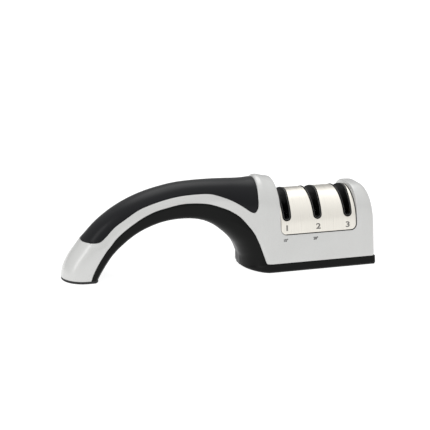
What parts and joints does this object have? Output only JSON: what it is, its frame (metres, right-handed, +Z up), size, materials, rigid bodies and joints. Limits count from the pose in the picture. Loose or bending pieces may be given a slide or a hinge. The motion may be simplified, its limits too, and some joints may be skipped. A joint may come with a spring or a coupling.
{
  "type": "pull-through knife sharpener",
  "caption": "Hand-held knife sharpener: an arched handle with a soft grip joined to a slotted head whose steel deck covers paired honing wheels on sprung carriers.",
  "frame": {"origin": "centre of the bounding box at the level of the pads' undersides", "axes": "+X from the handle tip towards the head, -Y towards the user's side with the numerals, +Z up"},
  "size_m": [0.235, 0.0604, 0.0685],
  "materials": {
    "silver_moulding": "satin silver",
    "black_moulding": "fine textured black",
    "soft_grip": "soft touch",
    "deck_steel": "brushed upright",
    "inner_plastic": "moulded black",
    "chassis_metal": "die cast",
    "abrasive": "gritty grey",
    "polishing": "fine grit in a resin bond",
    "hardware": "zinc plated",
    "spring_steel": "drawn wire",
    "pad_rubber": "matt"
  },
  "bodies": {
    "housing": {"upper_housing": "silver_moulding", "lower_housing": "black_moulding", "grip": "soft_grip", "deck_plate": "deck_steel", "guide_block": "inner_plastic", "hone_frame": "chassis_metal", "spring_1": "spring_steel", "spring_2": "spring_steel", "spring_3": "spring_steel", "frame_screws": "hardware", "base_screws": "hardware", "handle_screw": "hardware", "base_pad": "pad_rubber", "tip_pad": "pad_rubber"},
    "stage_1": {"carrier_1": "inner_plastic", "axle_1_front": "hardware", "axle_1_rear": "hardware"},
    "hone_1_front": {"wheel_1_front": "abrasive"},
    "hone_1_rear": {"wheel_1_rear": "abrasive"},
    "stage_2": {"carrier_2": "inner_plastic", "axle_2_front": "hardware", "axle_2_rear": "hardware"},
    "hone_2_front": {"wheel_2_front": "abrasive"},
    "hone_2_rear": {"wheel_2_rear": "abrasive"},
    "stage_3": {"carrier_3": "inner_plastic", "axle_3_front": "hardware", "axle_3_rear": "hardware"},
    "hone_3_front": {"wheel_3_front": "polishing"},
    "hone_3_rear": {"wheel_3_rear": "polishing"}
  },
  "joints": [
    {"name": "carrier_1_slide", "type": "slide", "parent": "housing", "child": "stage_1", "axis": [0, 0, -1], "range_m": [0, 0.0025], "stiffness_N_per_m": 1200, "springref_m": -0.003, "deforming": ["spring_1"]},
    {"name": "carrier_2_slide", "type": "slide", "parent": "housing", "child": "stage_2", "axis": [0, 0, -1], "range_m": [0, 0.0025], "stiffness_N_per_m": 1200, "springref_m": -0.003, "deforming": ["spring_2"]},
    {"name": "carrier_3_slide", "type": "slide", "parent": "housing", "child": "stage_3", "axis": [0, 0, -1], "range_m": [0, 0.0025], "stiffness_N_per_m": 1200, "springref_m": -0.003, "deforming": ["spring_3"]},
    {"name": "wheel_1_front_spin", "type": "hinge", "parent": "stage_1", "child": "hone_1_front", "pos_m": [0.0473, -0.0105, 0.0296], "axis": [1, 0, 0], "continuous": true},
    {"name": "wheel_1_rear_spin", "type": "hinge", "parent": "stage_1", "child": "hone_1_rear", "pos_m": [0.0473, 0.0105, 0.0296], "axis": [1, 0, 0], "continuous": true},
    {"name": "wheel_2_front_spin", "type": "hinge", "parent": "stage_2", "child": "hone_2_front", "pos_m": [0.0714, -0.0105, 0.0296], "axis": [1, 0, 0], "continuous": true},
    {"name": "wheel_2_rear_spin", "type": "hinge", "parent": "stage_2", "child": "hone_2_rear", "pos_m": [0.0714, 0.0105, 0.0296], "axis": [1, 0, 0], "continuous": true},
    {"name": "wheel_3_front_spin", "type": "hinge", "parent": "stage_3", "child": "hone_3_front", "pos_m": [0.0955, -0.0105, 0.0296], "axis": [1, 0, 0], "continuous": true},
    {"name": "wheel_3_rear_spin", "type": "hinge", "parent": "stage_3", "child": "hone_3_rear", "pos_m": [0.0955, 0.0105, 0.0296], "axis": [1, 0, 0], "continuous": true}
  ]
}
